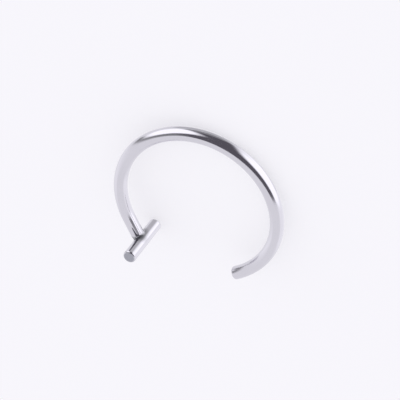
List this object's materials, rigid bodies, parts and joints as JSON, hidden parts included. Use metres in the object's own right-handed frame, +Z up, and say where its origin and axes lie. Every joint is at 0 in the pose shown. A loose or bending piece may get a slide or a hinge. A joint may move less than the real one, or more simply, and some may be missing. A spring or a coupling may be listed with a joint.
{
  "type": "lip ring",
  "caption": "Open hoop of round polished steel wire with a short crossbar soldered across one end; it slips over the edge of the lip, with the crossbar inside.",
  "frame": {"origin": "on the surface that the ring lies on, under the middle of its bounding box", "axes": "+Z up from that surface; the hoop lies nearly flat with its mouth towards -Y, the crossbar on the mouth's -X side and the free end on its +X side"},
  "size_m": [0.0128, 0.012, 0.0046],
  "materials": {
    "polished_steel": "mirror-polished stainless steel, unplated, with faint polishing marks"
  },
  "bodies": {
    "root": {"lip_ring": "polished_steel"}
  },
  "joints": []
}
